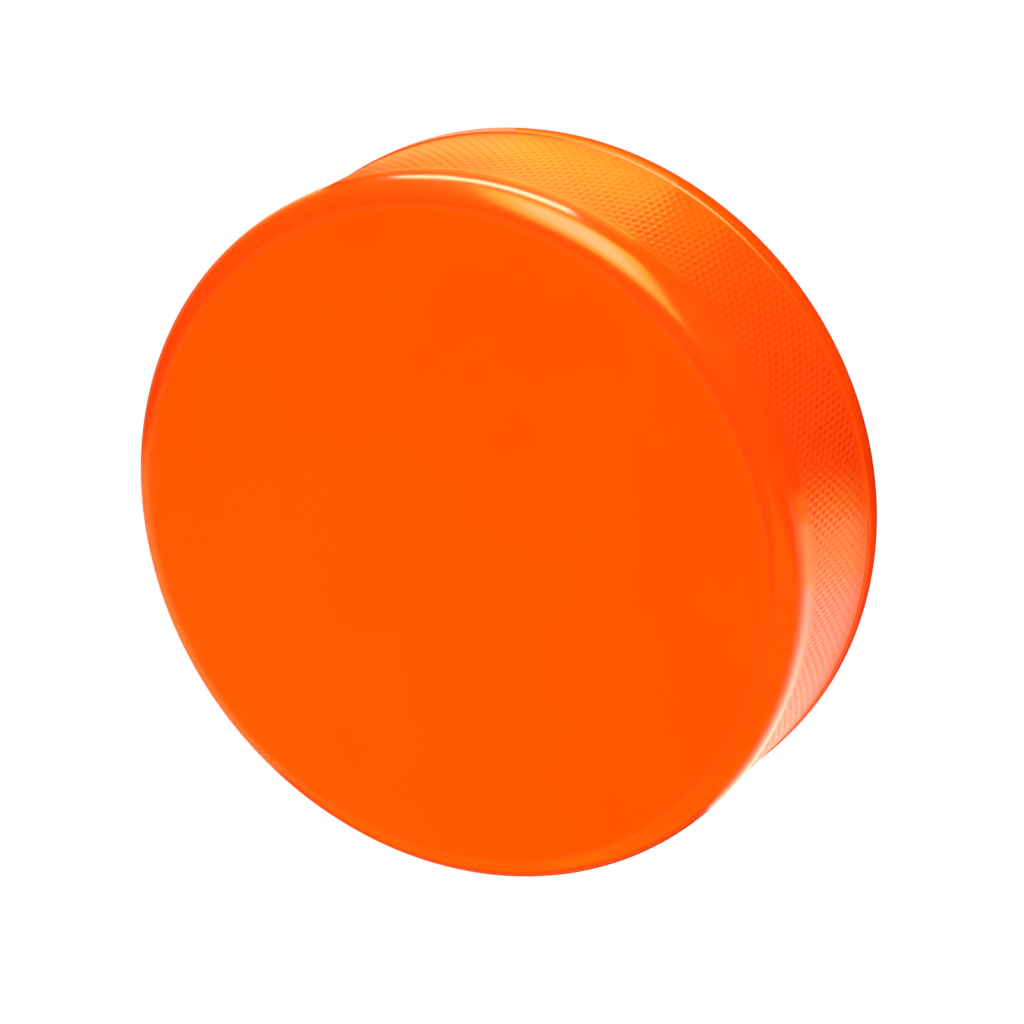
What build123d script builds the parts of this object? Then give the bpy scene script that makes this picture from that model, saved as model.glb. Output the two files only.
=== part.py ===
from build123d import *
import os

# Ice hockey puck: one solid piece of vulcanised rubber, compression moulded in a two-half mould.
# Millimetres. +Z is the puck's axis, and the origin is the centre of the face that it lies on.

# Driving dimensions
DIAMETER = 76.2  # official size, 3 inches
THICKNESS = 25.4  # official size, 1 inch
CORNER_RADIUS = 3.4  # round between each flat face and the side
BAND_HEIGHT = 16.0  # gripping band round the middle of the side, shoulders included
BAND_DEPTH = 0.2  # the band's crests lie this far below the smooth rims beside it
SHOULDER_HEIGHT = 0.2  # height of the slope from a rim down to the band

# Worked out from them
RADIUS = DIAMETER / 2
BAND_RADIUS = RADIUS - BAND_DEPTH
BAND_LOW = (THICKNESS - BAND_HEIGHT) / 2
BAND_HIGH = THICKNESS - BAND_LOW
CUTTER_MARGIN = 1.0  # how far the band's cutting section runs out past the rims

os.makedirs("parts", exist_ok=True)

# Puck body: a disc with both edges rounded and a shallow band turned into its side.
# The band's surface is where the crests of its diamond pattern stand, so it is the true outer shape.
with BuildPart() as puck_body:
    Cylinder(RADIUS, THICKNESS, align=(Align.CENTER, Align.CENTER, Align.MIN))
    fillet(puck_body.edges().filter_by(GeomType.CIRCLE), CORNER_RADIUS)
    with BuildSketch(Plane.XZ) as band_section:
        with BuildLine():
            Polyline(
                (RADIUS, BAND_LOW),
                (BAND_RADIUS, BAND_LOW + SHOULDER_HEIGHT),
                (BAND_RADIUS, BAND_HIGH - SHOULDER_HEIGHT),
                (RADIUS, BAND_HIGH),
                (RADIUS + CUTTER_MARGIN, BAND_HIGH),
                (RADIUS + CUTTER_MARGIN, BAND_LOW),
                close=True,
            )
        make_face()
    revolve(axis=Axis.Z, mode=Mode.SUBTRACT)

puck_body.part.label = "puck_body"
puck_body.part.color = Color(0.98, 0.33, 0.0)
export_step(puck_body.part, "parts/puck_body.step")
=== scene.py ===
import math

import bpy
import numpy as np
from mathutils import Matrix, Vector


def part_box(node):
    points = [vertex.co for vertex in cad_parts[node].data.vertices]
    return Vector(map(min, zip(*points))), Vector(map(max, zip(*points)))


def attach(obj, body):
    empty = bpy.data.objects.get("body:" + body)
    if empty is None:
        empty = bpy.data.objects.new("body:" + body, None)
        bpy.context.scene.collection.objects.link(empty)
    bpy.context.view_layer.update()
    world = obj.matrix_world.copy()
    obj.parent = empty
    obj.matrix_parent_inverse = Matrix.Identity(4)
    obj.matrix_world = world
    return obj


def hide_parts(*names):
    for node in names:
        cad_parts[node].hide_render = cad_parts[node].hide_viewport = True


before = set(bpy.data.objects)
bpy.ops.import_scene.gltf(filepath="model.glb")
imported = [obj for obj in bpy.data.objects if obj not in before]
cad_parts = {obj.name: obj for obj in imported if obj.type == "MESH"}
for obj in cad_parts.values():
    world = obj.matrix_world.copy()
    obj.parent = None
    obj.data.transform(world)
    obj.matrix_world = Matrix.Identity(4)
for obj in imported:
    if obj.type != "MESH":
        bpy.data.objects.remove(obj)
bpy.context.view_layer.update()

# ---------------------------------------------------------------------------------------------
# Sizes in metres. The puck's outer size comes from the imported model; the rest repeats its design.
# ---------------------------------------------------------------------------------------------
BODY = "puck_body"
body_low, body_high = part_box(BODY)
RADIUS = body_high.y
THICKNESS = body_high.z - body_low.z
CENTRE_HEIGHT = (body_high.z + body_low.z) / 2

CORNER_RADIUS = 0.0034
BAND_HEIGHT = 0.0160
BAND_DEPTH = 0.0002
SHOULDER_HEIGHT = 0.0002  # at the lower edge of the band
SOFT_SHOULDER_HEIGHT = 0.0006  # at its upper edge

# Slope of the crisp lower shoulder: two extra rings of points keep the middle of it flat
SHOULDER_FLAT_FROM = 0.2  # share of the slope, from the rim
SHOULDER_FLAT_TO = 0.8

# Diamond pattern of the band: narrow hollows, longer along the axis, in a shallow net.
# Each row of them stands half a pitch on from the last.
DIAMONDS_ROUND = 177  # hollows in one row round the side
DIAMOND_PITCH = 0.00153  # along the axis, between two rows that stand in line
DIAMOND_DEPTH = 0.00015  # from the net to the bottom of a hollow
HOLLOW_POINTEDNESS = 1.5  # above 1, the hollow's ends are drawn out to points
STEPS_PER_PITCH = 6  # mesh steps from one hollow to the next, both ways
HOLLOW_PULL = 0.25  # how far, in steps, the edges of a hollow are drawn towards its middle
PATTERN_STEPS = 58  # mesh rows of the pattern
FADE_STEPS_LOW = 2  # rows over which the pattern runs out at its lower edge
FADE_STEPS_HIGH = 6  # and at its upper edge
CRISP = 0.00005  # distance from a step's edge to the ring of points that keeps it crisp

FINE_COLUMNS = DIAMONDS_ROUND * STEPS_PER_PITCH
COARSEN = 3  # fine columns for each column of the plain faces and edges
FACE_RINGS = (0.25, 0.5, 0.75, 0.93, 0.99)  # rings on a flat face, as shares of its radius
ARC_STEPS = 14


# ---------------------------------------------------------------------------------------------
# Puck mesh
# ---------------------------------------------------------------------------------------------
def corner_arc(centre_radius, centre_height, start, stop):
    """Section points of a rounded edge, angles in degrees from the outward direction."""
    points = []
    for step in range(ARC_STEPS + 1):
        angle = math.radians(start + (stop - start) * step / ARC_STEPS)
        points.append(
            (
                centre_radius + CORNER_RADIUS * math.cos(angle),
                centre_height + CORNER_RADIUS * math.sin(angle),
            )
        )
    return points


def hollow_depths(columns, row):
    """Depths of the pattern below its net along one row of mesh points, all round the side."""
    half_pitch = STEPS_PER_PITCH // 2
    phase = math.pi * (row + columns) / STEPS_PER_PITCH
    in_hollow = columns % half_pitch == 0
    rows_from_edge = min(row / FADE_STEPS_LOW, (PATTERN_STEPS - row) / FADE_STEPS_HIGH)
    row_depth = DIAMOND_DEPTH * min(1.0, rows_from_edge)
    return row_depth * in_hollow * abs(np.cos(phase)) ** HOLLOW_POINTEDNESS


def puck_mesh():
    """One closed surface: coarse rings for the faces and edges, fine rings for the band."""
    edge_centre = RADIUS - CORNER_RADIUS
    low_centre = body_low.z + CORNER_RADIUS
    high_centre = body_high.z - CORNER_RADIUS
    face_radii = [edge_centre * fraction for fraction in FACE_RINGS]

    below = [(radius, body_low.z) for radius in face_radii]
    below += corner_arc(edge_centre, low_centre, -90, 0)
    above = corner_arc(edge_centre, high_centre, 0, 90)
    above += [(radius, body_high.z) for radius in reversed(face_radii)]

    band_radius = RADIUS - BAND_DEPTH
    band_low = CENTRE_HEIGHT - BAND_HEIGHT / 2
    band_high = CENTRE_HEIGHT + BAND_HEIGHT / 2
    step_height = DIAMOND_PITCH / STEPS_PER_PITCH
    pattern_low = CENTRE_HEIGHT - PATTERN_STEPS * step_height / 2

    columns = np.arange(FINE_COLUMNS)
    towards_hollow = np.array([0.0, -HOLLOW_PULL, HOLLOW_PULL])[columns % 3]
    fine_angles = 2 * math.pi * (columns + towards_hollow) / FINE_COLUMNS
    coarse_angles = fine_angles[::COARSEN]

    rings = []  # (angles, radii round the ring, height)
    for radius, height in below:
        rings.append((coarse_angles, np.full(len(coarse_angles), radius), height))
    for radius, height in (
        (RADIUS, band_low - CRISP),
        (RADIUS, band_low),
        (RADIUS - SHOULDER_FLAT_FROM * BAND_DEPTH, band_low + SHOULDER_FLAT_FROM * SHOULDER_HEIGHT),
        (RADIUS - SHOULDER_FLAT_TO * BAND_DEPTH, band_low + SHOULDER_FLAT_TO * SHOULDER_HEIGHT),
        (band_radius, band_low + SHOULDER_HEIGHT),
        (band_radius, band_low + SHOULDER_HEIGHT + CRISP),
    ):
        rings.append((fine_angles, np.full(FINE_COLUMNS, radius), height))
    first_pattern_ring = len(rings)
    for row in range(PATTERN_STEPS + 1):
        radii = band_radius - hollow_depths(columns, row)
        rings.append((fine_angles, radii, pattern_low + row * step_height))
    last_pattern_ring = len(rings) - 1
    for radius, height in (
        (band_radius, band_high - SOFT_SHOULDER_HEIGHT),
        (RADIUS, band_high),
        (RADIUS, band_high + CRISP),
    ):
        rings.append((fine_angles, np.full(FINE_COLUMNS, radius), height))
    for radius, height in above:
        rings.append((coarse_angles, np.full(len(coarse_angles), radius), height))

    vertices = [(0.0, 0.0, body_low.z)]
    starts = []
    for angles, radii, height in rings:
        starts.append(len(vertices))
        x, y = radii * np.cos(angles), radii * np.sin(angles)
        vertices += zip(x.tolist(), y.tolist(), [height] * len(angles))
    top_centre = len(vertices)
    vertices.append((0.0, 0.0, body_high.z))

    faces = []
    coarse_count = len(coarse_angles)
    for column in range(coarse_count):
        beside = (column + 1) % coarse_count
        faces.append((0, starts[0] + beside, starts[0] + column))
        faces.append((top_centre, starts[-1] + column, starts[-1] + beside))

    for ring in range(len(rings) - 1):
        low, high = starts[ring], starts[ring + 1]
        low_count, high_count = len(rings[ring][0]), len(rings[ring + 1][0])
        in_pattern = first_pattern_ring <= ring < last_pattern_ring
        low_radii, high_radii = rings[ring][1], rings[ring + 1][1]
        for column in range(min(low_count, high_count)):
            beside = (column + 1) % min(low_count, high_count)
            # Each square of the pattern is split along the diagonal whose ends are nearer in depth
            if in_pattern:
                rising_gap = abs(low_radii[column] - high_radii[beside])
                falling_gap = abs(low_radii[beside] - high_radii[column])
            if low_count < high_count:
                fine = [high + (column * COARSEN + k) % high_count for k in range(COARSEN, -1, -1)]
                faces.append((low + column, low + beside, *fine))
            elif low_count > high_count:
                fine = [low + (column * COARSEN + k) % low_count for k in range(COARSEN + 1)]
                faces.append((*fine, high + beside, high + column))
            elif not in_pattern:
                faces.append((low + column, low + beside, high + beside, high + column))
            elif falling_gap < rising_gap:
                faces.append((low + column, low + beside, high + column))
                faces.append((low + beside, high + beside, high + column))
            else:
                faces.append((low + column, low + beside, high + beside))
                faces.append((low + column, high + beside, high + column))

    mesh = bpy.data.meshes.new("puck")
    mesh.from_pydata(vertices, [], faces)
    mesh.validate()
    mesh.update()
    mesh.shade_smooth()
    return mesh


# ---------------------------------------------------------------------------------------------
# Materials
# ---------------------------------------------------------------------------------------------
RUBBER = (0.96, 0.048, 0.0006)
RUBBER_PALE = (0.97, 0.0535, 0.0010)
RUBBER_DEEP = (0.94, 0.043, 0.0004)
SPECK = (0.93, 0.16, 0.03)
SPECK_SIZE = 0.00016  # radius of the largest specks
SPECK_SPACING = 0.006
SPECKLESS = 0.6  # share of the cells that have no speck
SPECK_STRENGTH = 0.6
NOISE_RANGE = (0.3, 0.7)  # where most of a noise's values lie
GRAIN_RANGE = (0.35, 0.65)
GRAIN_SHARE = (0.3, 0.7)  # how much of the plain rubber colour the grain mixes in
CLOUD_SIZE = 0.014  # features of the noises, in metres
GRAIN_SIZE = 0.0012
SHEEN_PATCH_SIZE = 0.009
WAVE_SIZE, WAVE_HEIGHT = 0.006, 0.00003
SKIN_SIZE, SKIN_HEIGHT = 0.0004, 0.000003
ROUGHNESS = 0.21  # of the edges and rims
ROUGHNESS_SPREAD = 0.03
BAND_ROUGHNESS = 0.12  # how much rougher the pressed band is
FACE_ROUGHNESS = 0.8  # the flat faces are duller than the edges
FACE_EDGE_DROP = 0.0002  # height below the face over which the dull skin gives way to the gloss
SHEEN_TINT = (1, 1, 0.7)  # both tints are chosen for the look: they keep blue out of the reflections
FACE_SHEEN_TINT = (1, 1, 0.0)


def rubber_material():
    """Orange rubber: slightly cloudy colour, tiny specks, uneven gloss, dull faces and a fine skin."""
    material = bpy.data.materials.new("orange_rubber")
    material.use_nodes = True
    nodes, links = material.node_tree.nodes, material.node_tree.links
    shader = nodes["Principled BSDF"]
    shader.inputs["IOR"].default_value = 1.5
    place = nodes.new("ShaderNodeTexCoord").outputs["Object"]

    def noise(size, detail):
        """Smooth random values, about 0.5 in the middle, with features of this size in metres."""
        node = nodes.new("ShaderNodeTexNoise")
        node.inputs["Scale"].default_value = 1 / size
        node.inputs["Detail"].default_value = detail
        links.new(place, node.inputs["Vector"])
        return node.outputs["Fac"]

    def spread(value, low, high, result_low, result_high):
        """The value moved from one range to another, and kept inside it."""
        node = nodes.new("ShaderNodeMapRange")
        node.inputs["From Min"].default_value = low
        node.inputs["From Max"].default_value = high
        node.inputs["To Min"].default_value = result_low
        node.inputs["To Max"].default_value = result_high
        links.new(value, node.inputs["Value"])
        return node.outputs["Result"]

    def calculate(operation, first, second=0.0, third=0.0):
        node = nodes.new("ShaderNodeMath")
        node.operation = operation
        for socket, value in zip(node.inputs, (first, second, third)):
            if isinstance(value, float):
                socket.default_value = value
            else:
                links.new(value, socket)
        return node.outputs["Value"]

    def blend(share, first, second):
        """One colour or the other, by share. A colour is three numbers or a socket."""
        node = nodes.new("ShaderNodeMix")
        node.data_type = "RGBA"
        colour_inputs = [socket for socket in node.inputs if socket.type == "RGBA"]
        for socket, colour in zip(colour_inputs, (first, second)):
            if isinstance(colour, tuple):
                socket.default_value = (*colour, 1)
            else:
                links.new(colour, socket)
        links.new(share, node.inputs[0])
        return [socket for socket in node.outputs if socket.type == "RGBA"][0]

    # Colour: broad clouds of deeper and paler orange, a finer grain, and a few tiny pale specks
    clouds = blend(spread(noise(CLOUD_SIZE, 3), *NOISE_RANGE, 0.0, 1.0), RUBBER_DEEP, RUBBER_PALE)
    grain = blend(spread(noise(GRAIN_SIZE, 2), *GRAIN_RANGE, *GRAIN_SHARE), clouds, RUBBER)
    cells = nodes.new("ShaderNodeTexVoronoi")
    cells.inputs["Scale"].default_value = 1 / SPECK_SPACING
    links.new(place, cells.inputs["Vector"])
    chance = nodes.new("ShaderNodeSeparateColor")
    links.new(cells.outputs["Color"], chance.inputs["Color"])
    speck_radius = spread(chance.outputs["Red"], SPECKLESS, 1.0, 0.0, SPECK_SIZE / SPECK_SPACING)
    in_speck = calculate("LESS_THAN", cells.outputs["Distance"], speck_radius)
    colour = blend(calculate("MULTIPLY", in_speck, SPECK_STRENGTH), grain, SPECK)
    links.new(colour, shader.inputs["Base Color"])

    # Sheen: patchy on the edges, rims and band, duller on the band, and dullest on the flat faces
    height = nodes.new("ShaderNodeSeparateXYZ")
    links.new(place, height.inputs["Vector"])
    half_band = (BAND_HEIGHT - SHOULDER_HEIGHT) / 2
    on_band = calculate("COMPARE", height.outputs["Z"], CENTRE_HEIGHT, half_band)
    glossiest, dullest = ROUGHNESS - ROUGHNESS_SPREAD, ROUGHNESS + ROUGHNESS_SPREAD
    patches = spread(noise(SHEEN_PATCH_SIZE, 4), *NOISE_RANGE, glossiest, dullest)
    side_roughness = calculate("MULTIPLY_ADD", on_band, BAND_ROUGHNESS, patches)
    from_middle = calculate("ABSOLUTE", calculate("SUBTRACT", height.outputs["Z"], CENTRE_HEIGHT))
    on_face = spread(from_middle, THICKNESS / 2 - FACE_EDGE_DROP, THICKNESS / 2, 0.0, 1.0)
    to_face = calculate("SUBTRACT", FACE_ROUGHNESS, side_roughness)
    roughness = calculate("MULTIPLY_ADD", on_face, to_face, side_roughness)
    links.new(roughness, shader.inputs["Roughness"])
    links.new(blend(on_face, SHEEN_TINT, FACE_SHEEN_TINT), shader.inputs["Specular Tint"])

    # Skin: the slight waviness of moulded rubber under a much finer grain
    waves = nodes.new("ShaderNodeBump")
    waves.inputs["Distance"].default_value = WAVE_HEIGHT
    links.new(noise(WAVE_SIZE, 1), waves.inputs["Height"])
    skin = nodes.new("ShaderNodeBump")
    skin.inputs["Distance"].default_value = SKIN_HEIGHT
    links.new(noise(SKIN_SIZE, 2), skin.inputs["Height"])
    links.new(waves.outputs["Normal"], skin.inputs["Normal"])
    links.new(skin.outputs["Normal"], shader.inputs["Normal"])
    return material


def glowing_material(name, brightness, colour):
    """A surface that gives off light evenly."""
    material = bpy.data.materials.new(name)
    material.use_nodes = True
    nodes, links = material.node_tree.nodes, material.node_tree.links
    nodes.clear()
    glow = nodes.new("ShaderNodeEmission")
    glow.inputs["Color"].default_value = (*colour, 1)
    glow.inputs["Strength"].default_value = brightness
    output = nodes.new("ShaderNodeOutputMaterial")
    links.new(glow.outputs["Emission"], output.inputs["Surface"])
    return material


puck = bpy.data.objects.new("puck", puck_mesh())
bpy.context.scene.collection.objects.link(puck)
puck.data.materials.append(rubber_material())
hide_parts(BODY)
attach(puck, "root")

# ---------------------------------------------------------------------------------------------
# Floor: plain white to the camera. It gives the puck no light, which comes from the lights below.
# ---------------------------------------------------------------------------------------------
FLOOR_HALF = 8.0
FLOOR_DROP = 0.0001  # keeps it clear of the puck's underside
floor_corners = [
    (-FLOOR_HALF, -FLOOR_HALF, 0),
    (FLOOR_HALF, -FLOOR_HALF, 0),
    (FLOOR_HALF, FLOOR_HALF, 0),
    (-FLOOR_HALF, FLOOR_HALF, 0),
]
floor_mesh = bpy.data.meshes.new("floor")
floor_mesh.from_pydata(floor_corners, [], [(0, 1, 2, 3)])
floor = bpy.data.objects.new("floor", floor_mesh)
bpy.context.scene.collection.objects.link(floor)
floor_mesh.materials.append(glowing_material("pale_floor", 1.0, (1, 1, 1)))
floor.location.z = -FLOOR_DROP
floor.visible_diffuse = False
floor.visible_glossy = False
floor.visible_shadow = False

# ---------------------------------------------------------------------------------------------
# Camera: 400 mm from the puck's centre and 57 degrees above the plane of its faces, then rolled
# ---------------------------------------------------------------------------------------------
CAMERA_PLACE = Vector((0, -0.217685, 0.348445))
CAMERA_AIM = Vector((-0.001257, -0.000248, 0.012544))
CAMERA_ROLL = math.radians(-125.397)
CAMERA_LENS = 133.97

camera_data = bpy.data.cameras.new("camera")
camera_data.lens = CAMERA_LENS
camera = bpy.data.objects.new("camera", camera_data)
bpy.context.scene.collection.objects.link(camera)
camera.location = CAMERA_PLACE
facing = (CAMERA_AIM - CAMERA_PLACE).to_track_quat("-Z", "Y").to_matrix()
camera.rotation_euler = (facing @ Matrix.Rotation(CAMERA_ROLL, 3, "Z")).to_euler()
camera_data.clip_start, camera_data.clip_end = 0.01, 50
bpy.context.scene.camera = camera


# ---------------------------------------------------------------------------------------------
# Lights. Azimuth 0 is the camera's side and 90 is +X; brightness is set beside the white floor's 1.
# Their amber colours, and the places of the floor cards, are tuned for the view of the camera above.
# ---------------------------------------------------------------------------------------------
CARD_HEIGHT = 0.0005  # of the cards, above the floor's level
CARD_STEP = 5  # degrees of a card's arc for each of its flat pieces


def direction(azimuth, elevation=0.0):
    """Unit vector from the puck towards a place in the studio, angles in degrees."""
    turn, lift = math.radians(azimuth), math.radians(elevation)
    return Vector((math.sin(turn) * math.cos(lift), -math.cos(turn) * math.cos(lift), math.sin(lift)))


def softbox(name, azimuth, elevation, across, tall, brightness, colour, roll=0.0, distance=0.6):
    """A rectangular light that faces the puck.

    Its size is the angles that it fills from the puck, in degrees, and roll turns it about its
    own axis. A light just in front of another has a slightly shorter distance.
    """
    data = bpy.data.lights.new(name, "AREA")
    data.shape = "RECTANGLE"
    data.size = 2 * distance * math.tan(math.radians(across / 2))
    data.size_y = 2 * distance * math.tan(math.radians(tall / 2))
    data.energy = brightness * math.pi * data.size * data.size_y
    data.color = colour
    lamp = bpy.data.objects.new(name, data)
    bpy.context.scene.collection.objects.link(lamp)
    out = direction(azimuth, elevation)
    lamp.location = out * distance + Vector((0, 0, CENTRE_HEIGHT))
    facing = (-out).to_track_quat("-Z", "Y").to_matrix()
    lamp.rotation_euler = (facing @ Matrix.Rotation(math.radians(roll), 3, "Z")).to_euler()
    lamp.visible_camera = False
    return lamp


def floor_card(name, first, last, near, far, brightness, colour):
    """A glowing board on the floor beside the puck, from one azimuth to another.

    near and far are pairs: the distances from the axis to its edges at its first and last azimuth.
    """
    steps = max(2, round(abs(last - first) / CARD_STEP))
    vertices, faces = [], []
    for step in range(steps + 1):
        share = step / steps
        out = direction(first + (last - first) * share)
        for start, end in (near, far):
            place = out * (start + (end - start) * share)
            vertices.append((place.x, place.y, CARD_HEIGHT))
    for step in range(steps):
        faces.append((2 * step, 2 * step + 1, 2 * step + 3, 2 * step + 2))
    mesh = bpy.data.meshes.new(name)
    mesh.from_pydata(vertices, [], faces)
    mesh.materials.append(glowing_material(name, brightness, colour))
    card = bpy.data.objects.new(name, mesh)
    bpy.context.scene.collection.objects.link(card)
    card.visible_camera = False
    card.visible_shadow = False


# The softboxes: azimuth, elevation, width, height, brightness, colour, roll, distance
softbox("key", 43, 16, 46, 60, 7.5, (1, 1, 0.12), 12)
softbox("key_core", 43, 16, 28, 36, 6.5, (0.5, 0.5, 1), 12, 0.58)
softbox("left", -93, 24, 90, 72, 1.3, (1, 0.84, 0.0))
softbox("left_top", -132, 64, 32, 20, 0.4, (1, 0.84, 0.0))
softbox("back_left", -152, 20, 36, 50, 1.0, (1, 0.84, 0.0))
softbox("back_top", 178, 57, 44, 30, 0.55, (1, 0.9, 0.0))
softbox("back_high", 196, 46, 30, 30, 0.8, (1, 0.84, 0.0), 45, 0.58)
softbox("back_low", 172, 16, 34, 50, 1.9, (1, 0.74, 0.14))
# Close over the far side of the face, for the slight gradient across it, and out of the reflections
over_face = softbox("over_face", 185, 58, 40, 30, 2.2, (1, 1, 0), distance=0.0855)
over_face.visible_glossy = False
# The floor cards: first and last azimuth, near edge, far edge, brightness, colour
floor_card("line", 40, 78, (0.054, 0.069), (0.078, 0.093), 12, (1, 1, 0.7))
floor_card("patch_edge", 16, 27, (0.0400, 0.0400), (0.048, 0.048), 0.6, (1, 1, 0.05))
floor_card("patch_a", 27, 57, (0.0398, 0.0391), (0.049, 0.0465), 2.2, (1, 1, 0.12))
floor_card("patch_b", 57, 90, (0.0395, 0.0412), (0.0459, 0.0418), 2.1, (1, 1, 0.2))
floor_card("foot_right", 57, 95, (0.0385, 0.0385), (0.0391, 0.0408), 1.1, (1, 1, 0.55))
floor_card("bounce_edge", -31.5, -37.5, (0.0408, 0.0406), (0.070, 0.070), 0.8, (1, 1, 0.1))
floor_card("bounce_a", -37.5, -50, (0.0406, 0.0398), (0.070, 0.070), 1.8, (1, 1, 0.4))
floor_card("bounce_b", -50, -100, (0.0400, 0.0398), (0.070, 0.070), 2.1, (1, 1, 0.75))
floor_card("bounce_mid", -34, -100, (0.070, 0.070), (0.12, 0.12), 1.4, (1, 1, 0.4))
floor_card("right_near", 92, 122, (0.0385, 0.0385), (0.062, 0.054), 1.2, (1, 1, 0.4))
floor_card("right_far", 92, 150, (0.062, 0.065), (0.093, 0.093), 0.4, (1, 1, 0.3))
floor_card("rear", 150, 190, (0.065, 0.068), (0.12, 0.12), 0.8, (1, 1, 0.42))
floor_card("rear_left", 190, 260, (0.068, 0.060), (0.12, 0.12), 0.25, (1, 1, 0.2))

# A white room to the camera, and only a faint glow to the puck, which the lights above shape
AMBIENT = 0.15
world = bpy.data.worlds.new("studio")
bpy.context.scene.world = world
world.use_nodes = True
world_nodes, world_links = world.node_tree.nodes, world.node_tree.links
seen_by = world_nodes.new("ShaderNodeLightPath")
strength = world_nodes.new("ShaderNodeMapRange")
strength.inputs["To Min"].default_value = AMBIENT
strength.inputs["To Max"].default_value = 1.0
world_links.new(seen_by.outputs["Is Camera Ray"], strength.inputs["Value"])
world_nodes["Background"].inputs["Color"].default_value = (1, 1, 1, 1)
world_links.new(strength.outputs["Result"], world_nodes["Background"].inputs["Strength"])
world.cycles_visibility.glossy = False

bpy.context.scene.view_settings.view_transform = "Standard"
